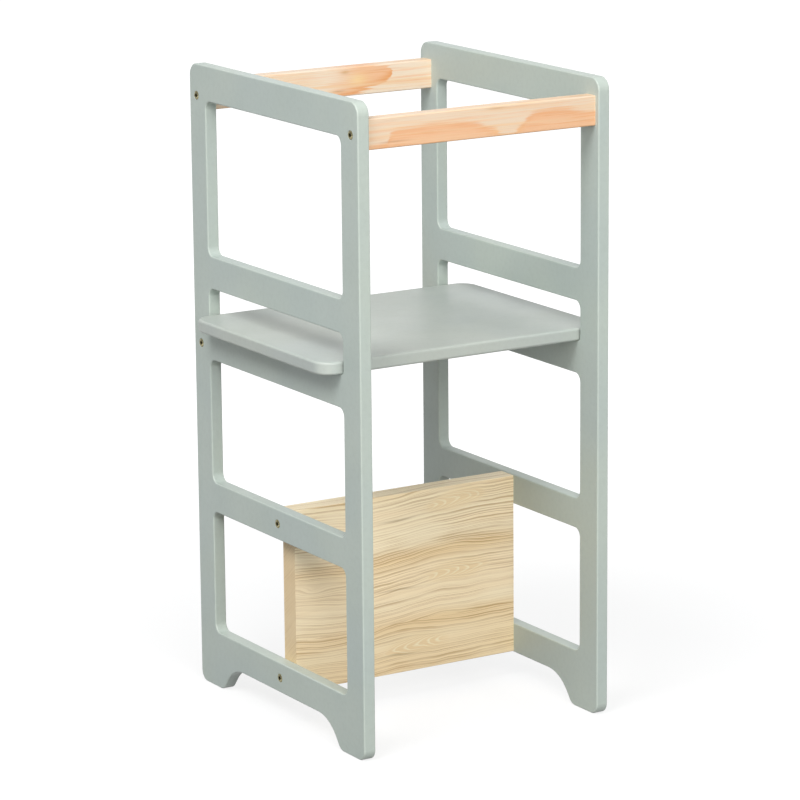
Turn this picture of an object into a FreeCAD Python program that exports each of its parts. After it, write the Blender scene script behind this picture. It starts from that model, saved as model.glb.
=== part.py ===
import FreeCAD
import Part
import Sketcher

import math
import os

from FreeCAD import Placement, Rotation, Vector

# Toddler kitchen helper: two cut-out side panels joined by two hand rails, a rear
# cross bar and a low vertical board, with a standing platform through their slots.
# Millimetres.  X runs across the helper, Y from its front to its back, Z up.
# The origin is on the floor, at the middle of the footprint.

driving_sizes = [
    # side panels
    ("overall_height", 900, "floor to the top of the side panels"),
    ("overall_width", 398, "across the outer faces of the two panels"),
    ("overall_depth", 457, "front edge to back edge of a panel"),
    ("panel_thickness", 18, "board that the panels are cut from"),
    ("panel_edge_radius", 2, "round on every long edge of a panel"),
    ("top_corner_radius", 18, "upper corners of a panel"),
    ("post_width", 44.5, "front and rear post, in the panel's plane"),
    ("top_rail_height", 50, "rail over the top window"),
    ("guard_rail_height", 46.5, "rail between the top window and the slot"),
    ("slot_height", 56, "slot that the platform passes through"),
    ("platform_level", 529, "floor to the underside of the platform"),
    ("platform_rail_height", 46.5, "rail that the platform lies on"),
    ("middle_rail_top", 304, "floor to the top of the middle rail"),
    ("middle_rail_height", 43.5, "rail between the two lower windows"),
    ("low_rail_height", 43.5, "rail over the arch between the feet"),
    ("window_corner_radius", 12, "corners of the windows, and upper corners of the slot"),
    ("arch_height", 39, "floor to the crown of the arch"),
    ("foot_length", 64, "panel edge to where the arch's flank meets the floor"),
    ("arch_run", 30.5, "horizontal run of the arch's flank"),
    ("foot_corner_radius", 15, "outer lower corner of a foot"),
    ("foot_inner_radius", 16, "inner lower corner of a foot"),
    ("arch_corner_radius", 60, "sweep from the flank into the crown"),
    # platform
    ("platform_thickness", 18, "board of the platform"),
    ("platform_overhang", 30, "wing outside each panel"),
    ("platform_gap", 3.5, "platform to the front and rear end of the slot"),
    ("platform_corner_radius", 26, "corners of the platform in plan"),
    ("platform_edge_radius", 3.5, "round on the platform's edges"),
    # hand rails and cross bar, cut from one stock
    ("bar_height", 41.5, "upright size of the bar stock"),
    ("bar_thickness", 22, "flat size of the bar stock"),
    ("bar_edge_radius", 2, "round on the bar's long edges"),
    ("bar_setback", 8, "panel edge to the outer face of a bar"),
    ("rail_drop", 24, "panel top to the top of a hand rail"),
    ("crossbar_drop", 6.5, "platform underside to the top of the cross bar"),
    # low board
    ("board_thickness", 32, "low board, front to back"),
    ("board_drop", 1.5, "middle rail's top to the board's top"),
    ("board_floor_gap", 40.5, "floor to the board's lower edge"),
    ("board_edge_radius", 1, "eased edges of the board"),
    ("board_screw_inset", 19.5, "board's edge to its screws, up and down"),
    # connecting screws through the panels
    ("screw_length", 50, "head to tip"),
    ("screw_head_diameter", 12, "countersunk head"),
    ("screw_head_rim", 0.4, "straight rim of every screw head"),
    ("screw_shank_diameter", 6.4, "shank, over its thread"),
    ("screw_tip_length", 5, "pointed end of every screw"),
    ("screw_socket_size", 4, "hexagon socket, across flats"),
    ("screw_socket_depth", 2.6, "hexagon socket of every screw"),
    ("screw_recess", 0.3, "panel's face to the head of every screw"),
    # dowels beside the single screws
    ("dowel_diameter", 8, "beech dowel"),
    ("dowel_length", 30, "beech dowel"),
    ("dowel_chamfer", 1, "ends of a dowel"),
    ("dowel_depth", 11, "dowel's length inside the panel"),
    ("dowel_offset", 12.5, "screw to the dowel above or below it"),
    # screws up into the platform
    ("platform_screw_length", 58, "head to tip"),
    ("platform_screw_head_diameter", 9, "countersunk head"),
    ("platform_screw_shank_diameter", 4.6, "shank, over its thread"),
    ("platform_screw_spacing", 240, "between the two screws of one rail"),
    ("platform_screw_socket_size", 3, "hexagon socket, across flats"),
    # clearances
    ("bore_clearance", 0.05, "round a screw or dowel, on the radius"),
    ("bore_end_gap", 0.5, "past the end of a screw or dowel"),
]

doc = FreeCAD.newDocument("kitchen_helper")
sheet = doc.addObject("Spreadsheet::Sheet", "sizes")
for row, (alias, value, meaning) in enumerate(driving_sizes, start=1):
    sheet.set("A%d" % row, alias)
    sheet.set("B%d" % row, str(value))
    sheet.set("C%d" % row, meaning)
    sheet.setAlias("B%d" % row, alias)
doc.recompute()


class Size:
    """A length or an angle that knows its number and its spreadsheet formula."""

    def __init__(self, value, formula):
        self.value = float(value)
        self.formula = formula

    @staticmethod
    def of(other):
        if isinstance(other, Size):
            return other
        return Size(other, repr(float(other)))

    def __add__(self, other):
        other = Size.of(other)
        return Size(self.value + other.value, "(%s + %s)" % (self.formula, other.formula))

    def __sub__(self, other):
        other = Size.of(other)
        return Size(self.value - other.value, "(%s - %s)" % (self.formula, other.formula))

    def __mul__(self, other):
        other = Size.of(other)
        return Size(self.value * other.value, "(%s * %s)" % (self.formula, other.formula))

    def __truediv__(self, other):
        other = Size.of(other)
        return Size(self.value / other.value, "(%s / %s)" % (self.formula, other.formula))

    def __neg__(self):
        return Size(-self.value, "(0 - %s)" % self.formula)


class Sizes:
    """Every driving size of the sheet as an attribute."""

    def __getattr__(self, alias):
        return Size(sheet.get(alias), "sizes.%s" % alias)


size = Sizes()
zero = Size.of(0)

# ---------------------------------------------------------------- derived sizes

half_depth = size.overall_depth / 2
half_width = size.overall_width / 2
inner_half_width = half_width - size.panel_thickness
window_half_depth = half_depth - size.post_width
top_window_top = size.overall_height - size.top_rail_height
slot_top = size.platform_level + size.slot_height
top_window_bottom = slot_top + size.guard_rail_height
middle_window_top = size.platform_level - size.platform_rail_height
low_window_top = size.middle_rail_top - size.middle_rail_height
low_window_bottom = size.arch_height + size.low_rail_height
# so that the rounded lower edge of the platform clears the slot's corners
slot_lower_corner_radius = size.platform_gap + size.platform_edge_radius

bar_centre_y = half_depth - size.bar_setback - size.bar_thickness / 2
rail_centre_z = size.overall_height - size.rail_drop - size.bar_height / 2
crossbar_centre_z = size.platform_level - size.crossbar_drop - size.bar_height / 2

board_top = size.middle_rail_top - size.board_drop
board_height = board_top - size.board_floor_gap
upper_board_screw_z = board_top - size.board_screw_inset
lower_board_screw_z = size.board_floor_gap + size.board_screw_inset

screw_bore = size.screw_shank_diameter + size.bore_clearance * 2
# a countersink starts at the panel's face, its head's cone under the recess and the rim
sink_lead = size.screw_recess + size.screw_head_rim
screw_sink = size.screw_head_diameter + size.bore_clearance * 2 + sink_lead * 2
screw_bore_depth = size.screw_length + size.screw_recess + size.bore_end_gap - size.panel_thickness
dowel_bore = size.dowel_diameter + size.bore_clearance * 2
dowel_panel_bore_depth = size.dowel_depth + size.bore_end_gap
dowel_bar_bore_depth = size.dowel_length - size.dowel_depth + size.bore_end_gap
platform_screw_bore = size.platform_screw_shank_diameter + size.bore_clearance * 2
platform_screw_sink = (
    size.platform_screw_head_diameter + size.bore_clearance * 2 + sink_lead * 2
)
platform_screw_bore_depth = (
    size.platform_screw_length + size.screw_recess + size.bore_end_gap - size.platform_rail_height
)

platform_half_depth = window_half_depth - size.platform_gap
platform_half_width = half_width + size.platform_overhang
platform_screw_x = inner_half_width + size.panel_thickness / 2
platform_screw_y = size.platform_screw_spacing / 2

# (screw's Y, screw's Z) of the bars, which each have one screw and two dowels an end
bar_seats = {
    "handrail_front": (-bar_centre_y, rail_centre_z),
    "handrail_rear": (bar_centre_y, rail_centre_z),
    "rear_crossbar": (bar_centre_y, crossbar_centre_z),
}
board_seats = {
    "board_upper": (zero, upper_board_screw_z),
    "board_lower": (zero, lower_board_screw_z),
}

# lengths closer than this are the same length
tolerance = 1e-4
# full angle of the countersinks; the cones of the heads are drawn to the same 90 degrees
sink_angle = 90


# ------------------------------------------------------------- sketching helpers

def new_body(label):
    body = doc.addObject("PartDesign::Body", label)
    body.Label = label
    return body


def origin_plane(body, role):
    for feature in body.Origin.OriginFeatures:
        if feature.Role == role:
            return feature
    raise ValueError(role)


def new_sketch(body, role, lift=None, flipped=False):
    """Empty sketch on an origin plane of the body, lifted along the plane's normal."""
    sketch = body.newObject("Sketcher::SketchObject", "%s_sketch" % body.Name)
    sketch.AttachmentSupport = (origin_plane(body, role), [""])
    sketch.MapMode = "FlatFace"
    if flipped:
        sketch.AttachmentOffset = Placement(Vector(), Rotation(Vector(1, 0, 0), 180))
    if lift is not None:
        sketch.setExpression("AttachmentOffset.Base.z", lift.formula)
    return sketch


def bind(sketch, kind, *target, to):
    """Dimension of the sketch, bound to a size."""
    index = sketch.addConstraint(Sketcher.Constraint(kind, *target, to.value))
    sketch.setExpression("Constraints[%d]" % index, to.formula)


def fix_point(sketch, geometry, position, x, y):
    """Place a point by its distances from the sketch's origin."""
    axes = (("DistanceX", x, -2), ("DistanceY", y, -1))
    for kind, distance, axis in axes:
        if abs(distance.value) < tolerance:
            sketch.addConstraint(Sketcher.Constraint("PointOnObject", geometry, position, axis))
        elif distance.value > 0:
            bind(sketch, kind, -1, 1, geometry, position, to=distance)
        else:
            bind(sketch, kind, geometry, position, -1, 1, to=-distance)


def rounded_outline(sketch, corners):
    """Closed loop of straight sides, run counter-clockwise, with an arc at each corner.

    Each corner is (x, y, radius), where x and y are of the sharp corner.
    """
    count = len(corners)
    sharp = [Vector(x.value, y.value, 0) for x, y, radius in corners]
    arcs = []
    for index, (x, y, radius) in enumerate(corners):
        incoming = (sharp[index] - sharp[index - 1]).normalize()
        outgoing = (sharp[(index + 1) % count] - sharp[index]).normalize()
        turn = math.atan2(incoming.cross(outgoing).z, incoming.dot(outgoing))
        reach = radius.value * math.tan(abs(turn) / 2)
        side = 1 if turn > 0 else -1
        enters = sharp[index] - incoming * reach
        leaves = sharp[index] + outgoing * reach
        inward = Vector(-incoming.y, incoming.x, 0) * side
        centre = enters + inward * radius.value
        arcs.append((centre, enters, leaves, side))

    first_line = sketch.GeometryCount
    for index in range(count):
        start = arcs[index][2]
        end = arcs[(index + 1) % count][1]
        sketch.addGeometry(Part.LineSegment(start, end), False)
    for index, (centre, enters, leaves, side) in enumerate(arcs):
        first, last = (enters, leaves) if side > 0 else (leaves, enters)
        from_angle = math.atan2(first.y - centre.y, first.x - centre.x)
        to_angle = math.atan2(last.y - centre.y, last.x - centre.x)
        circle = Part.Circle(centre, Vector(0, 0, 1), corners[index][2].value)
        sketch.addGeometry(Part.ArcOfCircle(circle, from_angle, to_angle), False)
    for point in sharp:
        sketch.addGeometry(Part.Point(point), True)

    for index, (x, y, radius) in enumerate(corners):
        line_in = first_line + (index - 1) % count
        line_out = first_line + index
        arc = first_line + count + index
        corner = first_line + 2 * count + index
        arc_start, arc_end = (1, 2) if arcs[index][3] > 0 else (2, 1)
        sketch.addConstraint([
            Sketcher.Constraint("Tangent", line_in, 2, arc, arc_start),
            Sketcher.Constraint("Tangent", arc, arc_end, line_out, 1),
            Sketcher.Constraint("PointOnObject", corner, 1, line_in),
            Sketcher.Constraint("PointOnObject", corner, 1, line_out),
        ])
        bind(sketch, "Radius", arc, to=radius)
        fix_point(sketch, corner, 1, x, y)


def rounded_rectangle(sketch, left, right, bottom, top, lower_radius, upper_radius):
    rounded_outline(sketch, [
        (left, bottom, lower_radius),
        (right, bottom, lower_radius),
        (right, top, upper_radius),
        (left, top, upper_radius),
    ])


def circles(sketch, diameter, centres):
    for x, y in centres:
        circle = Part.Circle(Vector(x.value, y.value, 0), Vector(0, 0, 1), diameter.value / 2)
        index = sketch.addGeometry(circle, False)
        bind(sketch, "Diameter", index, to=diameter)
        fix_point(sketch, index, 3, x, y)


# -------------------------------------------------------------- feature helpers

def pad(body, sketch, length, midplane=False):
    feature = body.newObject("PartDesign::Pad", "%s_pad" % body.Name)
    feature.Profile = sketch
    feature.setExpression("Length", length.formula)
    feature.Midplane = midplane
    doc.recompute()
    return feature


def check_cut(body, before):
    """A cut that points away from the solid would leave its volume as it was."""
    if not body.Shape.Volume < before - tolerance:
        raise RuntimeError("%s: a cut took nothing away" % body.Label)


def pocket(body, sketch, depth, reverse=False):
    before = body.Shape.Volume
    feature = body.newObject("PartDesign::Pocket", "%s_pocket" % body.Name)
    feature.Profile = sketch
    feature.Reversed = reverse
    feature.setExpression("Length", depth.formula)
    doc.recompute()
    check_cut(body, before)
    return feature


def sunk_holes(body, sketch, bore, sink, depth):
    """Countersunk holes into the sketch's plane; sink is the cone's diameter there."""
    before = body.Shape.Volume
    feature = body.newObject("PartDesign::Hole", "%s_hole" % body.Name)
    feature.Profile = sketch
    doc.recompute()
    feature.ThreadType = 0
    feature.HoleCutType = 2
    feature.HoleCutCustomValues = True
    feature.DepthType = 0
    feature.DrillPoint = 0
    feature.HoleCutCountersinkAngle = sink_angle
    feature.setExpression("Diameter", bore.formula)
    feature.setExpression("HoleCutDiameter", sink.formula)
    feature.setExpression("Depth", depth.formula)
    doc.recompute()
    check_cut(body, before)


def lies_at(edge, axis, places):
    """True for an edge that lies in one of the planes across the axis."""
    box = edge.BoundBox
    low, high = {"x": (box.XMin, box.XMax), "z": (box.ZMin, box.ZMax)}[axis]
    if high - low > tolerance:
        return False
    return any(abs(low - place) < tolerance for place in places)


def dress_edges(body, base, kind, axis, places, dimension, amount):
    """Fillet or chamfer on the edges of the base that lie in planes across the axis."""
    edges = []
    for index, edge in enumerate(base.Shape.Edges, start=1):
        if lies_at(edge, axis, places):
            edges.append("Edge%d" % index)
    feature = body.newObject("PartDesign::%s" % kind, "%s_%s" % (body.Name, kind.lower()))
    feature.Base = (base, edges)
    feature.setExpression(dimension, amount.formula)
    doc.recompute()


def place(body, x=None, y=None, z=None, rotation=None):
    if rotation is not None:
        body.Placement = Placement(Vector(), rotation)
    for axis, distance in (("x", x), ("y", y), ("z", z)):
        if distance is not None:
            body.setExpression("Placement.Base.%s" % axis, distance.formula)


# ------------------------------------------------------------------ side panels

def side_panel(label, side):
    """One side panel; side is -1 for the left one and 1 for the right one.

    The body's own X runs from the inner face at 0 to the outer face, so the left
    panel is the same body turned half a turn, and its rear is then at minus Y.
    """
    body = new_body(label)
    rear = side

    outline = new_sketch(body, "YZ_Plane")
    flank_foot = half_depth - size.foot_length
    flank_crown = flank_foot - size.arch_run
    rounded_outline(outline, [
        (-half_depth, zero, size.foot_corner_radius),
        (-flank_foot, zero, size.foot_inner_radius),
        (-flank_crown, size.arch_height, size.arch_corner_radius),
        (flank_crown, size.arch_height, size.arch_corner_radius),
        (flank_foot, zero, size.foot_inner_radius),
        (half_depth, zero, size.foot_corner_radius),
        (half_depth, size.overall_height, size.top_corner_radius),
        (-half_depth, size.overall_height, size.top_corner_radius),
    ])
    pad(body, outline, size.panel_thickness)

    windows = new_sketch(body, "YZ_Plane")
    openings = [
        (low_window_bottom, low_window_top, size.window_corner_radius),
        (size.middle_rail_top, middle_window_top, size.window_corner_radius),
        (size.platform_level, slot_top, slot_lower_corner_radius),
        (top_window_bottom, top_window_top, size.window_corner_radius),
    ]
    for bottom, top, lower_radius in openings:
        rounded_rectangle(
            windows,
            -window_half_depth,
            window_half_depth,
            bottom,
            top,
            lower_radius,
            size.window_corner_radius,
        )
    cut_out = pocket(body, windows, size.panel_thickness, reverse=True)

    faces_at = (0, size.panel_thickness.value)
    dress_edges(body, cut_out, "Fillet", "x", faces_at, "Radius", size.panel_edge_radius)

    seats = [(y * rear, z) for y, z in list(bar_seats.values()) + list(board_seats.values())]
    screw_centres = new_sketch(body, "YZ_Plane", lift=size.panel_thickness)
    circles(screw_centres, screw_bore, seats)
    sunk_holes(body, screw_centres, screw_bore, screw_sink, size.panel_thickness)

    dowel_centres = new_sketch(body, "YZ_Plane")
    for y, z in bar_seats.values():
        circles(dowel_centres, dowel_bore, [
            (y * rear, z - size.dowel_offset),
            (y * rear, z + size.dowel_offset),
        ])
    pocket(body, dowel_centres, dowel_panel_bore_depth, reverse=True)

    # up through the platform rail, from its lower face
    riser_centres = new_sketch(body, "XY_Plane", lift=middle_window_top, flipped=True)
    circles(riser_centres, platform_screw_bore, [
        (size.panel_thickness / 2, -platform_screw_y),
        (size.panel_thickness / 2, platform_screw_y),
    ])
    sunk_holes(
        body,
        riser_centres,
        platform_screw_bore,
        platform_screw_sink,
        size.platform_rail_height,
    )

    turned = Rotation(Vector(0, 0, 1), 0 if side > 0 else 180)
    place(body, x=inner_half_width * side, rotation=turned)


# -------------------------------------------------------- bars, board, platform

def end_bores(body, diameter, centres, depth):
    """Bores into the right-hand end of a piece that spans the panels along X."""
    sketch = new_sketch(body, "YZ_Plane", lift=inner_half_width)
    circles(sketch, diameter, centres)
    return pocket(body, sketch, depth)


def mirror_across(body, cuts):
    """Repeat the cuts of one end at the other end."""
    before = body.Shape.Volume
    feature = body.newObject("PartDesign::Mirrored", "%s_mirror" % body.Name)
    feature.Originals = cuts
    feature.MirrorPlane = (origin_plane(body, "YZ_Plane"), [""])
    body.Tip = feature
    doc.recompute()
    check_cut(body, before)


def bar(label, y, z):
    """Bar between the inner faces, with a screw bore and two dowel bores at each end."""
    body = new_body(label)
    section = new_sketch(body, "YZ_Plane")
    half_thickness = size.bar_thickness / 2
    half_height = size.bar_height / 2
    rounded_rectangle(
        section,
        -half_thickness,
        half_thickness,
        -half_height,
        half_height,
        size.bar_edge_radius,
        size.bar_edge_radius,
    )
    pad(body, section, inner_half_width * 2, midplane=True)
    screw_end = end_bores(body, screw_bore, [(zero, zero)], screw_bore_depth)
    dowel_end = end_bores(
        body,
        dowel_bore,
        [(zero, -size.dowel_offset), (zero, size.dowel_offset)],
        dowel_bar_bore_depth,
    )
    mirror_across(body, [screw_end, dowel_end])
    place(body, y=y, z=z)


def low_board(label):
    """Upright board between the panels, screwed through the two lower rails."""
    body = new_body(label)
    section = new_sketch(body, "YZ_Plane")
    half_thickness = size.board_thickness / 2
    rounded_rectangle(
        section,
        -half_thickness,
        half_thickness,
        zero,
        board_height,
        size.board_edge_radius,
        size.board_edge_radius,
    )
    pad(body, section, inner_half_width * 2, midplane=True)
    screw_ends = end_bores(
        body,
        screw_bore,
        [(zero, size.board_screw_inset), (zero, board_height - size.board_screw_inset)],
        screw_bore_depth,
    )
    mirror_across(body, [screw_ends])
    place(body, z=size.board_floor_gap)


def standing_platform(label):
    """Plate that lies on the platform rails and stands out past both panels."""
    body = new_body(label)
    plan = new_sketch(body, "XY_Plane")
    rounded_rectangle(
        plan,
        -platform_half_width,
        platform_half_width,
        -platform_half_depth,
        platform_half_depth,
        size.platform_corner_radius,
        size.platform_corner_radius,
    )
    plate = pad(body, plan, size.platform_thickness)
    faces_at = (0, size.platform_thickness.value)
    dress_edges(body, plate, "Fillet", "z", faces_at, "Radius", size.platform_edge_radius)

    bores = new_sketch(body, "XY_Plane")
    centres = []
    for x in (-platform_screw_x, platform_screw_x):
        for y in (-platform_screw_y, platform_screw_y):
            centres.append((x, y))
    circles(bores, platform_screw_bore, centres)
    pocket(body, bores, platform_screw_bore_depth, reverse=True)
    place(body, z=size.platform_level)


# -------------------------------------------------------------------- fasteners

def polygon(sketch, corners):
    """Closed loop of straight sides through (x, y) corners, each corner placed by sizes."""
    count = len(corners)
    points = [Vector(x.value, y.value, 0) for x, y in corners]
    first = sketch.GeometryCount
    for index in range(count):
        sketch.addGeometry(Part.LineSegment(points[index], points[(index + 1) % count]), False)
    for index in range(count):
        following = (index + 1) % count
        sketch.addConstraint(
            Sketcher.Constraint("Coincident", first + index, 2, first + following, 1)
        )
    for index, (x, y) in enumerate(corners):
        fix_point(sketch, first + index, 1, x, y)


def revolve(body, sketch):
    """Full turn of a half profile about the body's Z axis."""
    feature = body.newObject("PartDesign::Revolution", "%s_turned" % body.Name)
    feature.Profile = sketch
    feature.ReferenceAxis = (sketch, ["V_Axis"])
    feature.Angle = 360
    doc.recompute()


def countersunk_screw(label, length, head, shank, tip, socket_size):
    """Countersunk screw with a hexagon socket, its head at Z 0 and its tip below."""
    body = new_body(label)
    head_radius = head / 2
    shank_radius = shank / 2
    cone_end = size.screw_head_rim + head_radius - shank_radius
    profile = new_sketch(body, "XZ_Plane")
    polygon(profile, [
        (zero, zero),
        (zero, -length),
        (shank_radius, tip - length),
        (shank_radius, -cone_end),
        (head_radius, -size.screw_head_rim),
        (head_radius, zero),
    ])
    revolve(body, profile)

    hexagon = new_sketch(body, "XY_Plane")
    across_corners = socket_size / math.sqrt(3)
    centres = []
    for step in range(6):
        angle = math.radians(60 * step)
        centres.append((across_corners * math.cos(angle), across_corners * math.sin(angle)))
    polygon(hexagon, centres)
    pocket(body, hexagon, size.screw_socket_depth)
    return body


def connecting_screw(label, side, y, z):
    """Screw through a side panel into the end of a bar or of the board."""
    body = countersunk_screw(
        label,
        size.screw_length,
        size.screw_head_diameter,
        size.screw_shank_diameter,
        size.screw_tip_length,
        size.screw_socket_size,
    )
    outward = Rotation(Vector(0, 0, 1), Vector(side, 0, 0))
    place(body, x=(half_width - size.screw_recess) * side, y=y, z=z, rotation=outward)


def platform_screw(label, side, end):
    """Screw up through the platform rail into the platform."""
    body = countersunk_screw(
        label,
        size.platform_screw_length,
        size.platform_screw_head_diameter,
        size.platform_screw_shank_diameter,
        size.screw_tip_length,
        size.platform_screw_socket_size,
    )
    place(
        body,
        x=platform_screw_x * side,
        y=platform_screw_y * end,
        z=middle_window_top + size.screw_recess,
        rotation=Rotation(Vector(1, 0, 0), 180),
    )


def dowel(label, side, y, z):
    """Dowel across the joint between a panel and the end of a bar."""
    body = new_body(label)
    section = new_sketch(body, "YZ_Plane")
    circles(section, size.dowel_diameter, [(zero, zero)])
    rod = pad(body, section, size.dowel_length, midplane=True)
    ends_at = (-size.dowel_length.value / 2, size.dowel_length.value / 2)
    dress_edges(body, rod, "Chamfer", "x", ends_at, "Size", size.dowel_chamfer)
    centre_x = inner_half_width + size.dowel_depth - size.dowel_length / 2
    place(body, x=centre_x * side, y=y, z=z)


# --------------------------------------------------------------------- assembly

sides = (("left", -1), ("right", 1))

for side_name, side in sides:
    side_panel("side_panel_%s" % side_name, side)

for bar_name, (y, z) in bar_seats.items():
    bar(bar_name, y, z)
low_board("low_board")
standing_platform("platform")

for side_name, side in sides:
    for seat_name, (y, z) in list(bar_seats.items()) + list(board_seats.items()):
        connecting_screw("screw_%s_%s" % (seat_name, side_name), side, y, z)
    for bar_name, (y, z) in bar_seats.items():
        dowel("dowel_%s_%s_upper" % (bar_name, side_name), side, y, z + size.dowel_offset)
        dowel("dowel_%s_%s_lower" % (bar_name, side_name), side, y, z - size.dowel_offset)
    for end_name, end in (("front", -1), ("rear", 1)):
        platform_screw("platform_screw_%s_%s" % (side_name, end_name), side, end)

doc.recompute()

# ----------------------------------------------------------------------- output

for item in doc.Objects:
    if "Invalid" in item.State or "Error" in item.State:
        raise RuntimeError("%s did not recompute: %s" % (item.Label, item.State))

bodies = [item for item in doc.Objects if item.TypeId == "PartDesign::Body"]
for body in bodies:
    shape = body.Shape
    if shape.isNull() or not shape.isValid() or len(shape.Solids) != 1:
        raise RuntimeError("%s is not one valid solid" % body.Label)

os.makedirs("parts", exist_ok=True)
for body in bodies:
    body.Shape.exportStep("parts/%s.step" % body.Label)
    print("%-36s %10.1f mm3" % (body.Label, body.Shape.Volume))
print("%d pieces" % len(bodies))
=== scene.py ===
import math

import bmesh
import bpy
from mathutils import Matrix, Vector


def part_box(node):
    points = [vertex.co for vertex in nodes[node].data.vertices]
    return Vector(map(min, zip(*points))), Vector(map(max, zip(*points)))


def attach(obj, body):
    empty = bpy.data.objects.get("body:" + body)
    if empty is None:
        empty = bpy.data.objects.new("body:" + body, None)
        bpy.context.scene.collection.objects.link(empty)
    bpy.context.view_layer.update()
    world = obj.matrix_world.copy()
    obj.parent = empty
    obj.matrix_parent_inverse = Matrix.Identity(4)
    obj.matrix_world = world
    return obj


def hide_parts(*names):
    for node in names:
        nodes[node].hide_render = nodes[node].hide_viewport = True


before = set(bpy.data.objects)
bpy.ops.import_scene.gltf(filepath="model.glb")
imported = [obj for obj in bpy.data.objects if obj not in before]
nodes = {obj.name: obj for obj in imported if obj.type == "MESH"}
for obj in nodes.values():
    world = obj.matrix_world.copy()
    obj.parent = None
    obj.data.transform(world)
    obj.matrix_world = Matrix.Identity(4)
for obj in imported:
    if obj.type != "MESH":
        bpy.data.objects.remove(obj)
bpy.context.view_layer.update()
print("frame loaded:", len(nodes), "nodes")

# Lengths are in metres, and a piece's colours are 0 to 255 as seen on screen. Where a
# tint has four numbers, they are where it starts, where it is full, and its amount at
# each.


def linear(red, green, blue):
    # a screen colour, as Blender's linear one
    def channel(value):
        value /= 255
        return value / 12.92 if value <= 0.04045 else ((value + 0.055) / 1.055) ** 2.4
    return (channel(red), channel(green), channel(blue), 1)


class Graph:
    # writes the nodes of one new material or world

    def __init__(self, owner):
        owner.use_nodes = True
        self.owner = owner
        self.tree = owner.node_tree
        self.tree.nodes.clear()

    def add(self, kind, inputs=None, **settings):
        made = self.tree.nodes.new(kind)
        for name, value in settings.items():
            setattr(made, name, value)
        for name, value in (inputs or {}).items():
            self.put(made.inputs[name], value)
        return made

    def put(self, socket, value):
        if isinstance(value, bpy.types.NodeSocket):
            self.tree.links.new(value, socket)
        else:
            socket.default_value = value

    # sums

    def calc(self, operation, first, second=0.0, third=0.0):
        made = self.add("ShaderNodeMath", {0: first, 1: second, 2: third}, operation=operation)
        return made.outputs[0]

    def times(self, first, second):
        return self.calc("MULTIPLY", first, second)

    def minus(self, first, second):
        return self.calc("SUBTRACT", first, second)

    def addTimes(self, total, value, amount):
        return self.calc("MULTIPLY_ADD", value, amount, total)

    def shaken(self, value, noise, amount):
        # pushed up and down by a noise, whose middle is 0.5
        return self.addTimes(value, self.minus(noise, 0.5), amount)

    def smooth(self, value, start, end, atStart=0.0, atEnd=1.0):
        made = self.add("ShaderNodeMapRange", {"Value": value, "From Min": start, "From Max": end,
                                               "To Min": atStart, "To Max": atEnd},
                        interpolation_type="SMOOTHSTEP")
        return made.outputs["Result"]

    def between(self, noise, low, high):
        # most of a noise lies from 0.3 to 0.7
        return self.smooth(noise, 0.3, 0.7, low, high)

    def ridge(self, value, rise, fall):
        return self.times(self.smooth(value, *rise), self.smooth(value, *fall))

    def oval(self, across, up, spot):
        # 1 at the middle of a soft oval spot, 0 away from it
        acrossAt, upAt, wide, tall = spot
        a = self.calc("DIVIDE", self.minus(across, acrossAt), wide)
        b = self.calc("DIVIDE", self.minus(up, upAt), tall)
        both = self.addTimes(self.times(b, b), a, a)
        return self.calc("EXPONENT", self.times(both, -1.0))

    def curve(self, value, points):
        made = self.add("ShaderNodeFloatCurve", {"Value": value})
        handles = made.mapping.curves[0].points
        while len(handles) < len(points):
            handles.new(0.5, 0.5)
        for handle, at in zip(handles, points):
            handle.location = at
            handle.handle_type = "AUTO"
        made.mapping.update()
        return made.outputs[0]

    # places and directions

    def place(self):
        # metres in the helper's own frame, the same for every CAD piece
        return self.add("ShaderNodeTexCoord").outputs["Object"]

    def facing(self):
        return self.axes(self.add("ShaderNodeTexCoord").outputs["Normal"])

    def axes(self, vector):
        return self.add("ShaderNodeSeparateXYZ", {0: vector}).outputs[0:3]

    # noises, with sizes in cells per metre

    def noise(self, vector, size, detail, roughness=0.5):
        made = self.add("ShaderNodeTexNoise", {"Vector": vector, "Scale": size,
                                               "Detail": detail, "Roughness": roughness})
        return made.outputs["Fac"]

    def mottle(self, kind):
        size, detail = kind
        return self.noise(self.place(), size, detail)

    def grain(self, kind, shift=(0, 0, 0)):
        # stretched by its own size in x, y and z
        sizes, detail, roughness = kind
        stretched = self.add("ShaderNodeMapping", {"Vector": self.place(), "Scale": sizes,
                                                   "Location": shift}).outputs[0]
        return self.noise(stretched, 1.0, detail, roughness)

    def lines(self, value, kind):
        # uneven lines wherever the value is the same
        size, detail = kind
        made = self.add("ShaderNodeTexNoise", {"W": value, "Scale": size, "Detail": detail},
                        noise_dimensions="1D")
        return made.outputs["Fac"]

    # colours and surfaces

    def mix(self, amount, first, second):
        made = self.add("ShaderNodeMix", data_type="RGBA")
        for index, value in ((0, amount), (6, first), (7, second)):
            self.put(made.inputs[index], value)
        return made.outputs[2]

    def tint(self, body, amount, colour):
        return self.mix(amount, body, linear(*colour))

    def bump(self, height, depth):
        return self.add("ShaderNodeBump", {"Height": height, "Distance": depth,
                                           "Strength": 1.0}).outputs[0]

    def surface(self, inputs):
        shader = self.add("ShaderNodeBsdfPrincipled", inputs)
        self.add("ShaderNodeOutputMaterial", {"Surface": shader.outputs[0]})
        return self.owner

    def seen(self):
        # 1 for what the camera sees, straight or by gloss, and 0 for other light
        rays = self.add("ShaderNodeLightPath").outputs
        indirect = self.calc("MAXIMUM", rays["Is Glossy Ray"], rays["Is Transmission Ray"])
        return self.calc("MAXIMUM", rays["Is Camera Ray"], indirect)


def materialGraph(name):
    return Graph(bpy.data.materials.new(name))


def paint(names, material):
    for name in names:
        slots = nodes[name].data.materials
        slots.clear()
        slots.append(material)


def intoScene(item):
    bpy.context.scene.collection.objects.link(item)


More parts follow.
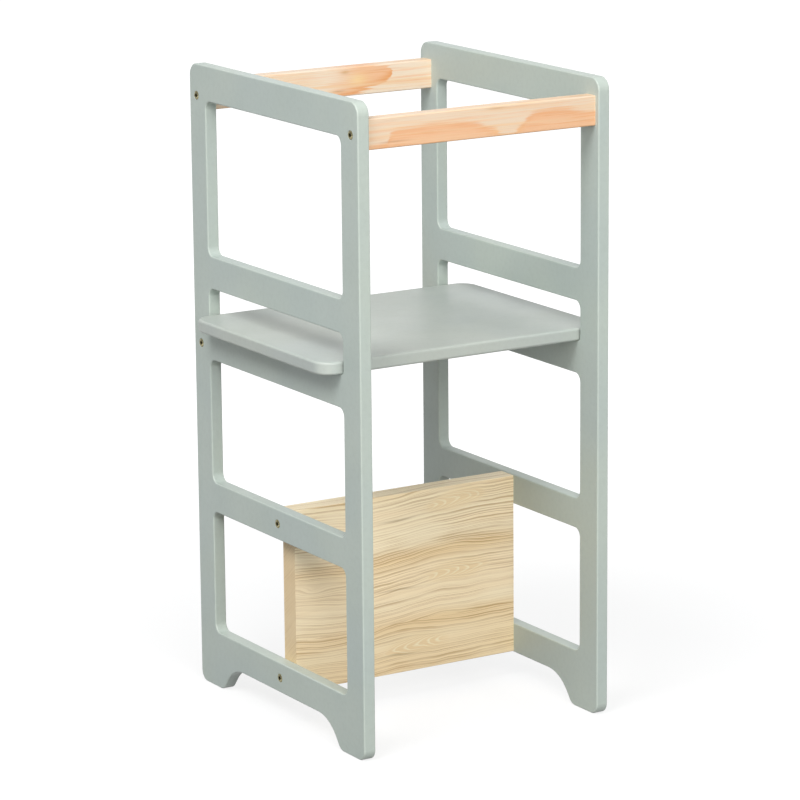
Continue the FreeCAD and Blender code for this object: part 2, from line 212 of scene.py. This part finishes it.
# satin paint on smooth board, rolled on; each mottle is a size and a detail

paintLook = {
    "colour": (190, 200, 191),
    "cool": (185, 196, 190),
    "drift": (5.0, 2.0),
    "driftEdge": (0.35, 0.65),
    # the pale colour of the rounds: partly wear, partly a painted highlight
    "edge": (202, 211, 201),
    "edgeRound": (0.02, 0.2),
    "wearAndHighlightAmount": 0.45,
    "edgeWear": (30.0, 4.0),
    "edgeWorn": (0.3, 0.6, 0.6, 1.0),
    "dust": (150, 158, 150),
    "dustMottle": (160.0, 3.0),
    "dusty": (0.4, 0.75, 0.0, 0.1),
    "peel": (420, 2.0),
    "peelDepth": 0.00004,
    "wear": (14.0, 4.0),
    "roughness": (0.37, 0.48),
    "coat": 0.08,
    "coatRoughness": 0.3,
}
# the platform is the panels' paint in a greyer copy, a painted shade for how the light falls on
# its top
platformShadedLook = dict(paintLook, colour=(187, 193, 185), cool=(182, 189, 184),
                    edge=(198, 204, 195))


def paintedBoard(name, look):
    g = materialGraph(name)
    drift = g.smooth(g.mottle(look["drift"]), *look["driftEdge"])
    body = g.mix(drift, linear(*look["colour"]), linear(*look["cool"]))
    # rounds are painted a little paler than the flats: partly rubbed wear, partly a painted
    # highlight where the rounds catch the light
    across = g.facing()[0]
    square = g.times(across, across)
    onRound = g.smooth(g.times(square, g.minus(1.0, square)), *look["edgeRound"])
    wornAndHighlit = g.times(onRound, g.smooth(g.mottle(look["edgeWear"]), *look["edgeWorn"]))
    body = g.tint(body, g.times(wornAndHighlit, look["wearAndHighlightAmount"]), look["edge"])
    dusty = g.smooth(g.mottle(look["dustMottle"]), *look["dusty"])
    body = g.tint(body, dusty, look["dust"])
    return g.surface({
        "Base Color": body,
        "Roughness": g.between(g.mottle(look["wear"]), *look["roughness"]),
        "Coat Weight": look["coat"],
        "Coat Roughness": look["coatRoughness"],
        "Normal": g.bump(g.mottle(look["peel"]), look["peelDepth"]),
    })


paint(["side_panel_left", "side_panel_right"], paintedBoard("painted_panels", paintLook))
paint(["platform"], paintedBoard("painted_platform", platformShadedLook))
print("painted board done")


# pine bars: cream sapwood, with a peach figure that has a curved edge

pineLook = {
    "straw": (238, 203, 164),
    "figure": (238, 188, 147),
    "deepFigure": (229, 158, 100),
    "wedge": (243, 206, 150),
    "wedgeAmount": 0.95,
    # amber: the amber spots' colour, and also the painted shade on the undersides
    "amber": (206, 160, 104),
    "amberAmount": 0.6,
    "brown": (168, 118, 78),
    "brownAmount": 0.4,
    "line": (202, 146, 100),
    # sizes in x, y and z, detail and roughness
    "wander": ((8, 60, 420), 4.0, 0.65),
    "streak": ((5, 90, 230), 5.0, 0.65),
    "darker": ((9, 120, 330), 4.0, 0.6),
    "fine": ((14, 700, 900), 3.0, 0.6),
    "wanderHeight": 0.55,
    "edgeFrom": -0.02,
    "rimRise": (0.0, 0.06),
    "rimFall": (0.4, 0.08),
    "sapStreaks": (0.44, 0.66, 0.0, 1.0),
    "sapDarker": (0.5, 0.68, 0.0, 0.6),
    "figureStreaks": (0.46, 0.7, 0.0, 0.55),
    "figureDarker": (0.48, 0.68, 0.0, 0.55),
    "fineLines": (0.5, 0.78, 0.0, 0.3),
    # painted shade on the faces that point down
    "underside": (0.2, 0.8, 0.0, 0.45),
    "streakRelief": 0.5,
    "grainDepth": 0.00006,
    "roughness": (0.42, 0.58),
    "coat": 0.06,
    "coatRoughness": 0.35,
}

# The figure lies between a floor and a roof. Both run from the bar's left end (0) to its
# right end (1), in shares of its height. A spot is its place along and up, and its
# length and height. The figure and its rim come in along fade and rimFade.
frontFigure = {
    "floor": [(0.0, 0.0), (1.0, 0.0)],
    "roof": [(0.0, 0.2), (0.085, 0.26), (0.1, 0.5), (0.14, 0.65), (0.22, 0.66), (0.29, 0.72),
             (0.37, 0.69), (0.457, 0.62), (0.517, 0.46), (0.56, 0.34), (0.585, 0.17),
             (0.63, 0.15), (0.655, 0.3), (0.68, 0.46), (0.705, 0.65), (0.74, 0.76),
             (0.79, 0.79), (0.855, 0.78), (0.93, 0.67), (1.0, 0.63)],
    "rimAtRoof": True,
    "fade": (-0.2, -0.1),
    "rimFade": (-0.2, -0.1),
    "rim": 0.5,
    "soft": 0.2,
    "amber": (0.56, 0.92, 0.045, 0.035),
    "wedge": (0.61, 0.3, 0.05, 0.25),
    "brown": (0.12, 0.2, 0.06, 0.03),
    "sapwood": (235, 211, 185),
    "seed": 2.0,
}
# the rear figure has a rounded tip to the right, and fades out to the left
rearFigure = {
    "floor": [(0.0, 0.0), (0.6, 0.0), (0.697, 0.14), (0.766, 0.3), (0.805, 0.47), (0.82, 0.66),
              (0.83, 0.9), (1.0, 1.0)],
    "roof": [(0.0, 1.0), (0.77, 1.0), (0.797, 0.92), (0.82, 0.72), (0.83, 0.5), (1.0, 0.0)],
    "rimAtRoof": False,
    "fade": (0.5, 0.7),
    "rimFade": (0.5, 0.58),
    "rim": 1.0,
    "soft": 0.08,
    "amber": (0.6, 0.83, 0.02, 0.07),
    "wedge": (0.655, 0.55, 0.045, 0.2),
    "brown": (0.57, 0.2, 0.03, 0.03),
    "sapwood": (239, 219, 196),
    "seed": 7.0,
}
# the photo hides the cross bar, so its figure is made up
crossFigure = dict(
    frontFigure,
    roof=[(0.0, 0.7), (0.2, 0.55), (0.45, 0.2), (0.6, 0.3), (0.8, 0.65), (1.0, 0.5)],
    amber=(0.3, 0.85, 0.06, 0.05), wedge=(0.5, 0.1, 0.05, 0.2), brown=(0.8, 0.2, 0.06, 0.03),
    seed=11.0)
barFigures = {"handrail_front": frontFigure, "handrail_rear": rearFigure,
              "rear_crossbar": crossFigure}


def pine(node, figure, look):
    g = materialGraph("pine_" + node)
    low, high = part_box(node)
    x, _, z = g.axes(g.place())
    along = g.calc("DIVIDE", g.minus(x, low.x), high.x - low.x)
    up = g.calc("DIVIDE", g.minus(z, low.z), high.z - low.z)
    seed = figure["seed"]

    def spotted(body, kind):
        spot = g.oval(along, up, figure[kind])
        return g.tint(body, g.times(spot, look[kind + "Amount"]), look[kind])

    # long streaks push the figure's edge up and down
    wander = g.grain(look["wander"], (seed, 0, 0))
    push = g.times(g.minus(wander, 0.5), look["wanderHeight"])
    overFloor = g.calc("ADD", g.minus(up, g.curve(along, figure["floor"])), push)
    underRoof = g.calc("ADD", g.minus(g.curve(along, figure["roof"]), up), push)
    rimDepth = underRoof if figure["rimAtRoof"] else overFloor
    rim = g.ridge(rimDepth, look["rimRise"], look["rimFall"])
    # the rim shows a little earlier than the rest, where the figure fades in
    shown = g.calc("MAXIMUM", g.smooth(along, *figure["fade"]),
                   g.times(rim, g.smooth(along, *figure["rimFade"])))
    edge = (look["edgeFrom"], figure["soft"])
    inFigure = g.times(g.smooth(underRoof, *edge), shown)
    if not figure["rimAtRoof"]:
        inFigure = g.times(inFigure, g.smooth(overFloor, *edge))

    streak = g.grain(look["streak"], (seed, 3, 0))
    darker = g.grain(look["darker"], (0, seed, 2))
    fine = g.grain(look["fine"], (seed, 0, 5))
    sap = g.tint(linear(*figure["sapwood"]), g.smooth(streak, *look["sapStreaks"]), look["straw"])
    sap = g.tint(sap, g.smooth(darker, *look["sapDarker"]), look["figure"])
    # deepest in the rim, just inside the figure's edge, with paler streaks further in
    heart = g.tint(linear(*look["figure"]), g.times(rim, figure["rim"]), look["deepFigure"])
    heart = g.tint(heart, g.smooth(streak, *look["figureStreaks"]), look["straw"])
    heart = g.tint(heart, g.smooth(darker, *look["figureDarker"]), look["deepFigure"])
    heart = spotted(heart, "wedge")
    body = g.mix(inFigure, sap, heart)
    body = spotted(body, "amber")
    body = spotted(body, "brown")
    body = g.tint(body, g.smooth(fine, *look["fineLines"]), look["line"])
    # undersides are tinted amber, a painted shade where less light falls
    down = g.times(g.facing()[2], -1.0)
    body = g.tint(body, g.smooth(down, *look["underside"]), look["amber"])
    return g.surface({
        "Base Color": body,
        "Roughness": g.between(fine, *look["roughness"]),
        "Coat Weight": look["coat"],
        "Coat Roughness": look["coatRoughness"],
        "Normal": g.bump(g.addTimes(fine, streak, look["streakRelief"]), look["grainDepth"]),
    })


for node, figure in barFigures.items():
    paint([node], pine(node, figure, pineLook))
print("pine bars done")


# Low board, ash look: rings in long lines, and in each stave an eye of pale chevrons, a
# tan band over it and a dark fleck to its left. A spot is its place along and up, and its
# length and height; up is measured from the eye, except in leftEye.

boardLook = {
    "pale": (255, 239, 205),
    "rosy": (252, 227, 187),
    "tan": (240, 210, 160),
    "line": (190, 153, 101),
    "dark": (150, 117, 72),
    "endGrain": (238, 209, 163),
    "stave": 0.102,
    # the grain's lines fall, then rise, then run level, from left to right
    "bends": (-0.095, 0.055),
    "slopes": (-0.09, 0.085, 0.01),
    "depthSlope": 0.9,
    # sizes in x, y and z, detail and roughness
    "sway": ((6, 3, 14), 2.0, 0.5),
    "swayHeight": 0.012,
    "ripple": ((26, 8, 60), 2.0, 0.5),
    "rippleHeight": 0.0026,
    "wave": ((9, 5, 30), 2.0, 0.5),
    "waveHeight": 0.007,
    "pores": ((18, 900, 1100), 3.0, 0.6),
    "broad": ((3, 20, 26), 2.0, 0.5),
    "patches": ((9, 20, 44), 2.0, 0.5),
    "patchEdge": (0.38, 0.62),
    # rings
    "hump": (0.06, 0.033, 0.055, 0.016),
    "humpHeight": 0.007,
    "leftEye": (-0.150, 0.1805, 0.03, 0.008),
    "leftEyeHeight": 0.008,
    "ringsPerMetre": 245,
    "ringDrift": (120.0, 2.0),
    "ringDriftAmount": 3.4,
    "ringRise": (0.42, 0.9),
    "ringFall": (1.0, 0.95),
    "thinLines": (700.0, 1.0),
    "thinEdge": (0.5, 0.66),
    # eyes
    "eyeAt": (0.085, 0.2665),
    "eyeStep": 0.071,
    "eyeSlope": 0.06,
    "eyeSize": (0.055, 0.016),
    "eyeEdge": (0.25, 0.7),
    "chevronGap": 0.018,
    "chevronBend": 0.0024,
    "chevronShake": 0.03,
    "chevronRise": (0.5, 0.85),
    "chevronFall": (1.0, 0.9),
    # tints
    "rosyAmount": 0.55,
    "band": (0.08, 0.033, 0.2, 0.011),
    "bandAmount": 0.75,
    "lowTan": (0.15, 0.06, 0.0, 0.4),
    "eyeTan": 0.6,
    "chevronAmount": 0.95,
    "lineAmount": 0.25,
    "lineInPatches": 0.4,
    "lineInBand": 0.25,
    "lineLostInEye": 0.75,
    "thinShare": 0.5,
    "fleck": (-0.012, -0.0102, 0.026, 0.0016),
    "fleckSlope": 0.08,
    "fleckAmount": 0.5,
    "poreLines": (0.5, 0.78, 0.0, 0.2),
    "ends": (0.6, 0.9, 0.0, 0.75),
    "top": (0.6, 0.9),
    # the top face is painted paler, as painted light where the platform shades it
    "topPaintedLight": 0.9,
    "topLines": 0.5,
    "ringRelief": 0.4,
    "grainDepth": 0.00008,
    "roughness": (0.44, 0.58),
}


def boardHeights(g, side, xyz, ripple, look):
    # a height that stays the same along each line of the grain
    x, y, z = xyz
    leftBend, rightBend = look["bends"]
    falling, rising, level = look["slopes"]
    toRight = g.minus(side, rightBend)
    toLeft = g.calc("MINIMUM", g.minus(x, leftBend), 0.0)
    height = g.addTimes(z, g.calc("MAXIMUM", toRight, 0.0), -level)
    height = g.addTimes(height, g.calc("MINIMUM", toRight, 0.0), -rising)
    height = g.addTimes(height, toLeft, rising - falling)
    height = g.shaken(height, g.grain(look["sway"]), look["swayHeight"])
    height = g.shaken(height, ripple, look["rippleHeight"])
    return g.addTimes(height, y, look["depthSlope"])


def boardRings(g, side, xyz, height, rise, look):
    # broad rings, each darkening slowly and ending sharply, and thin lines between them
    x, _, z = xyz
    height = g.shaken(height, g.grain(look["wave"], (1, 0, 4)), look["waveHeight"])
    height = g.addTimes(height, g.oval(side, rise, look["hump"]), -look["humpHeight"])
    height = g.addTimes(height, g.oval(x, z, look["leftEye"]), look["leftEyeHeight"])
    drift = g.times(g.lines(height, look["ringDrift"]), look["ringDriftAmount"])
    ring = g.calc("FRACT", g.addTimes(drift, height, look["ringsPerMetre"]))
    thin = g.smooth(g.lines(height, look["thinLines"]), *look["thinEdge"])
    return g.ridge(ring, look["ringRise"], look["ringFall"]), thin


def boardEyes(g, side, lowest, ripple, rise, look):
    # small pale chevrons that point right, and the soft oval that they lie in
    eyeX = look["eyeAt"][0]
    leaning = g.addTimes(rise, g.minus(side, eyeX), -look["eyeSlope"])
    bend = g.calc("DIVIDE", g.times(leaning, leaning), look["chevronBend"])
    # in the lowest stave they point the other way
    bend = g.times(bend, g.addTimes(1.0, lowest, -2.0))
    bend = g.shaken(bend, ripple, look["chevronShake"])
    nested = g.calc("DIVIDE", g.calc("ADD", side, bend), look["chevronGap"])
    chevron = g.ridge(g.calc("FRACT", nested), look["chevronRise"], look["chevronFall"])
    eye = g.oval(side, leaning, (eyeX, 0.0) + look["eyeSize"])
    return g.smooth(eye, *look["eyeEdge"]), chevron


def ashBoard(look):
    g = materialGraph("ash_board")
    xyz = g.axes(g.place())
    x, _, z = xyz
    eyeZ = look["eyeAt"][1]
    half = look["stave"] / 2
    # the lowest stave is laid with its eye further left
    lowest = g.calc("LESS_THAN", z, eyeZ - 3 * half)
    side = g.addTimes(x, lowest, look["eyeStep"])
    ripple = g.grain(look["ripple"])
    height = boardHeights(g, side, xyz, ripple, look)
    rise = g.calc("WRAP", g.minus(height, eyeZ), half, -half)
    late, thin = boardRings(g, side, xyz, height, rise, look)
    eye, chevron = boardEyes(g, side, lowest, ripple, rise, look)
    late = g.times(late, g.minus(1.0, g.times(eye, look["lineLostInEye"])))

    broad = g.smooth(g.grain(look["broad"], (0, 2, 0)), *look["patchEdge"])
    patches = g.smooth(g.grain(look["patches"], (3, 0, 1)), *look["patchEdge"])
    band = g.oval(x, rise, look["band"])
    body = g.tint(linear(*look["pale"]), g.times(broad, look["rosyAmount"]), look["rosy"])
    body = g.tint(body, g.times(band, look["bandAmount"]), look["tan"])
    body = g.tint(body, g.smooth(z, *look["lowTan"]), look["tan"])
    inEye = g.tint(body, g.times(eye, look["eyeTan"]), look["tan"])
    body = g.tint(inEye, g.times(eye, g.times(chevron, look["chevronAmount"])), look["pale"])
    strength = g.addTimes(look["lineAmount"], patches, look["lineInPatches"])
    strength = g.addTimes(strength, band, look["lineInBand"])
    body = g.tint(body, g.times(late, strength), look["line"])
    body = g.tint(body, g.times(thin, g.times(strength, look["thinShare"])), look["line"])
    fleck = g.oval(x, g.addTimes(rise, x, look["fleckSlope"]), look["fleck"])
    body = g.tint(body, g.times(fleck, look["fleckAmount"]), look["dark"])
    pores = g.grain(look["pores"])
    body = g.tint(body, g.smooth(pores, *look["poreLines"]), look["line"])

    towardsX, _, towardsZ = g.facing()
    body = g.tint(body, g.smooth(g.calc("ABSOLUTE", towardsX), *look["ends"]), look["endGrain"])
    # painted light: the top face is made paler where it lies in shade, and the late rings still
    # show on it
    top = g.smooth(towardsZ, *look["top"])
    body = g.tint(body, g.times(top, look["topPaintedLight"]), look["pale"])
    body = g.tint(body, g.times(top, g.times(late, look["topLines"])), look["line"])
    relief = g.minus(pores, g.times(late, look["ringRelief"]))
    return g.surface({
        "Base Color": body,
        "Roughness": g.between(pores, *look["roughness"]),
        "Normal": g.bump(relief, look["grainDepth"]),
    })


paint(["low_board"], ashBoard(boardLook))
print("low board done")


# screws: domed countersunk heads with a hexagon socket and a cut thread

zincLook = {
    "colour": (168, 161, 124),
    "shade": (92, 86, 58),
    "cloud": (420.0, 3.0),
    "cloudEdge": (0.35, 0.65),
    # painted shade in the socket and at the rim, where other faces are near
    "recessShade": (52, 48, 32),
    "recessShadeReach": 0.004,
    "recessShadeEdge": (0.6, 0.2),
    "scratch": ((900, 900, 2600), 2.0, 0.5),
    "scratchDepth": 0.00001,
    "roughness": (0.12, 0.3),
}
# socketTipWidth and lipWidth are shares of the socket's width, and socketTop of the dome
screwLook = {
    "steps": 24,
    "dome": 0.0009,
    "domeRings": (0.25, 0.5, 0.75, 0.92, 1.0),
    "domePower": 2.6,
    "headEdge": 0.0004,
    "socketDepth": 0.003,
    "socketTip": 0.0005,
    "socketTipWidth": 0.12,
    "socketTop": 0.55,
    "lipWidth": 0.72,
    "neck": 0.01,
    "pitch": 0.003,
    "threadRows": 5,
    "threadDepth": 0.0008,
    "taper": 0.005,
    "tip": 0.0004,
    "sharpAngle": 40,
}
# radius of the shank, and the socket's width across its flats
sideScrew = {"shank": 0.0032, "socket": 0.005}
underScrew = {"shank": 0.0023, "socket": 0.0035}


def zinc(look):
    g = materialGraph("yellow_zinc")
    cloud = g.smooth(g.mottle(look["cloud"]), *look["cloudEdge"])
    body = g.mix(cloud, linear(*look["colour"]), linear(*look["shade"]))
    # painted shade: darker where other faces are near, in the socket and round the head's rim
    openness = g.add("ShaderNodeAmbientOcclusion", {"Distance": look["recessShadeReach"]},
                     samples=4).outputs["AO"]
    body = g.tint(body, g.smooth(openness, *look["recessShadeEdge"]), look["recessShade"])
    scratch = g.grain(look["scratch"])
    return g.surface({
        "Base Color": body,
        "Metallic": 1.0,
        "Roughness": g.between(scratch, *look["roughness"]),
        "Normal": g.bump(scratch, look["scratchDepth"]),
    })


def screwRings(length, headRadius, kind, look):
    # from the socket's middle to the tip; each is a radius by angle, and a height
    shank, socket = kind["shank"], kind["socket"]
    lip = socket * look["lipWidth"]

    def circle(radius):
        return lambda angle: radius

    def hexagon(angle):
        inSide = (angle + math.pi / 6) % (math.pi / 3) - math.pi / 6
        return socket / 2 / math.cos(inSide)

    def thread(height):
        def radiusAt(angle):
            turn = (height / look["pitch"] + angle / (2 * math.pi)) % 1
            return shank - look["threadDepth"] * abs(2 * turn - 1)
        return radiusAt

    rings = [(circle(socket * look["socketTipWidth"]), -look["socketDepth"] - look["socketTip"]),
             (hexagon, -look["socketDepth"]),
             (hexagon, look["dome"] * look["socketTop"]),
             (circle(lip), look["dome"])]
    for share in look["domeRings"]:
        radius = lip + (headRadius - lip) * share
        rings.append((circle(radius), look["dome"] * (1 - share ** look["domePower"])))
    rings += [(circle(headRadius), -look["headEdge"]),
              (circle(shank), -look["headEdge"] - (headRadius - shank)),
              (circle(shank), -look["neck"])]
    rowStep = look["pitch"] / look["threadRows"]
    height = -look["neck"] - rowStep
    while height > look["taper"] - length:
        rings.append((thread(height), height))
        height -= rowStep
    rings += [(circle(shank - look["threadDepth"]), look["taper"] - length),
              (circle(look["tip"]), -length)]
    return rings


def screwMesh(name, rings, look):
    # head at z 0, tip below it
    steps = look["steps"]
    shape = bmesh.new()
    loops = []
    for radiusAt, height in rings:
        loop = []
        for step in range(steps):
            angle = 2 * math.pi * step / steps
            radius = radiusAt(angle)
            corner = (radius * math.cos(angle), radius * math.sin(angle), height)
            loop.append(shape.verts.new(corner))
        loops.append(loop)
    for upper, lower in zip(loops, loops[1:]):
        for step in range(steps):
            following = (step + 1) % steps
            shape.faces.new((upper[step], lower[step], lower[following], upper[following]))
    shape.faces.new(loops[0])
    shape.faces.new(loops[-1][::-1])
    bmesh.ops.recalc_face_normals(shape, faces=shape.faces)
    mesh = bpy.data.meshes.new(name)
    shape.to_mesh(mesh)
    shape.free()
    mesh.shade_smooth()
    mesh.set_sharp_from_angle(angle=math.radians(look["sharpAngle"]))
    return mesh


def fitScrew(node, mesh, head, outward):
    piece = bpy.data.objects.new("detailed_" + node, mesh)
    turn = Vector((0, 0, 1)).rotation_difference(Vector(outward)).to_matrix().to_4x4()
    piece.matrix_world = Matrix.Translation(head) @ turn
    intoScene(piece)
    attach(piece, "root")
    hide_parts(node)


zincMaterial = zinc(zincLook)
sideScrews = [n for n in nodes if n.startswith("screw_")]
low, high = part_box(sideScrews[0])
rings = screwRings(high.x - low.x, (high.y - low.y) / 2, sideScrew, screwLook)
sideMesh = screwMesh("side_screw", rings, screwLook)
sideMesh.materials.append(zincMaterial)
for node in sideScrews:
    low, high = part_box(node)
    onRight = low.x > 0
    head = (high.x if onRight else low.x, (low.y + high.y) / 2, (low.z + high.z) / 2)
    fitScrew(node, sideMesh, head, (1 if onRight else -1, 0, 0))

underScrews = [n for n in nodes if n.startswith("platform_screw_")]
low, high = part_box(underScrews[0])
rings = screwRings(high.z - low.z, (high.x - low.x) / 2, underScrew, screwLook)
underMesh = screwMesh("under_screw", rings, screwLook)
underMesh.materials.append(zincMaterial)
for node in underScrews:
    low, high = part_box(node)
    fitScrew(node, underMesh, ((low.x + high.x) / 2, (low.y + high.y) / 2, low.z), (0, 0, -1))
print("screws done:", len(sideScrews) + len(underScrews))


# plain beech dowels

beechLook = {
    "colour": (222, 190, 148),
    "fleck": (186, 146, 104),
    "fleckGrain": ((160, 900, 900), 3.0, 0.5),
    "fleckEdge": (0.5, 0.7),
    "fleckDepth": 0.00003,
    "roughness": (0.55, 0.7),
}


def beech(look):
    g = materialGraph("beech")
    fleck = g.grain(look["fleckGrain"])
    body = g.tint(linear(*look["colour"]), g.smooth(fleck, *look["fleckEdge"]), look["fleck"])
    return g.surface({
        "Base Color": body,
        "Roughness": g.between(fleck, *look["roughness"]),
        "Normal": g.bump(fleck, look["fleckDepth"]),
    })


paint([n for n in nodes if n.startswith("dowel")], beech(beechLook))
print("dowels done")


# floor and backdrop: white to the camera, with the shadow kept

white = (1, 1, 1, 1)
floorLook = {
    "size": 40.0,
    "grey": 0.22,
    # the floor's own glow grows from near the helper to far from it
    "glowFrom": 0.35,
    "glowTo": 1.7,
    "nearGlow": 0.8,
    "farGlow": 1.0,
}
worldLook = {"colour": (0.93, 0.97, 1.0, 1), "light": 0.36}


def studioFloor(look):
    half = look["size"] / 2
    mesh = bpy.data.meshes.new("floor")
    mesh.from_pydata([(-half, -half, 0), (half, -half, 0), (half, half, 0), (-half, half, 0)],
                     [], [(0, 1, 2, 3)])
    g = materialGraph("studio_floor")
    plain = g.add("ShaderNodeBsdfDiffuse", {"Color": (look["grey"],) * 3 + (1,)}).outputs[0]
    distance = g.add("ShaderNodeVectorMath", {0: g.place()}, operation="LENGTH").outputs["Value"]
    strength = g.smooth(distance, look["glowFrom"], look["glowTo"], look["nearGlow"],
                        look["farGlow"])
    glow = g.add("ShaderNodeEmission", {"Color": white, "Strength": strength}).outputs[0]
    glowing = g.add("ShaderNodeAddShader", {0: plain, 1: glow}).outputs[0]
    shader = g.add("ShaderNodeMixShader", {0: g.seen(), 1: plain, 2: glowing}).outputs[0]
    g.add("ShaderNodeOutputMaterial", {"Surface": shader})
    mesh.materials.append(g.owner)
    floor = bpy.data.objects.new("floor", mesh)
    intoScene(floor)


def studioWorld(look):
    world = bpy.data.worlds.new("studio")
    bpy.context.scene.world = world
    g = Graph(world)
    light = g.add("ShaderNodeBackground", {"Color": look["colour"], "Strength": look["light"]})
    backdrop = g.add("ShaderNodeBackground", {"Color": white, "Strength": 1.0})
    choice = g.add("ShaderNodeMixShader", {0: g.seen(), 1: light.outputs[0],
                                           2: backdrop.outputs[0]})
    g.add("ShaderNodeOutputWorld", {"Surface": choice.outputs[0]})


studioFloor(floorLook)
studioWorld(worldLook)


# soft lamps, each aimed at the middle of the helper

lamps = {
    "key": {"at": (-1.1, -4.7, 2.7), "size": 3.4, "watts": 175, "colour": (1.0, 0.99, 0.965)},
    "side": {"at": (-3.2, -1.6, 4.5), "size": 2.8, "watts": 166, "colour": (0.985, 0.99, 1.0)},
    "back": {"at": (4.0, 1.2, 3.2), "size": 2.8, "watts": 30, "colour": (1.0, 1.0, 1.0)},
}
lampTarget = Vector((0, 0, 0.5))


def hangLamp(name, look):
    data = bpy.data.lights.new(name, "AREA")
    data.shape = "DISK"
    data.size = look["size"]
    data.energy = look["watts"]
    data.color = look["colour"]
    lamp = bpy.data.objects.new(name, data)
    lamp.location = look["at"]
    lamp.rotation_euler = (lampTarget - lamp.location).to_track_quat("-Z", "Y").to_euler()
    intoScene(lamp)


for name, look in lamps.items():
    hangLamp(name, look)
print("floor and lamps done")


# camera, from a fit to the photograph's edges: angles in degrees, and its shift from the
# target to the right, up and away

cameraLook = {
    "azimuth": -31.441,
    "elevation": 13.180,
    "roll": -0.504,
    "focalPixels": 3855.0,
    "photoPixels": 800,
    "sensor": 36,
    "farthest": 100,
    "target": (0, 0, 0.45),
    "right": 0.00174,
    "up": -0.01610,
    "away": 5.4003,
}


def photoCamera(look):
    azimuth = math.radians(look["azimuth"])
    elevation = math.radians(look["elevation"])
    roll = math.radians(look["roll"])
    back = Vector((math.sin(azimuth) * math.cos(elevation),
                   -math.cos(azimuth) * math.cos(elevation),
                   math.sin(elevation)))
    level = Vector((math.cos(azimuth), math.sin(azimuth), 0))
    upright = back.cross(level)
    right = level * math.cos(roll) + upright * math.sin(roll)
    up = upright * math.cos(roll) - level * math.sin(roll)
    shift = right * look["right"] + up * look["up"] + back * look["away"]
    data = bpy.data.cameras.new("camera")
    data.sensor_width = look["sensor"]
    data.lens = look["sensor"] * look["focalPixels"] / look["photoPixels"]
    data.clip_end = look["farthest"]
    camera = bpy.data.objects.new("camera", data)
    turn = Matrix((right, up, back)).transposed().to_4x4()
    camera.matrix_world = Matrix.Translation(Vector(look["target"]) + shift) @ turn
    intoScene(camera)
    bpy.context.scene.camera = camera


photoCamera(cameraLook)
bpy.context.scene.view_settings.view_transform = "Standard"

print("camera and sizes done")
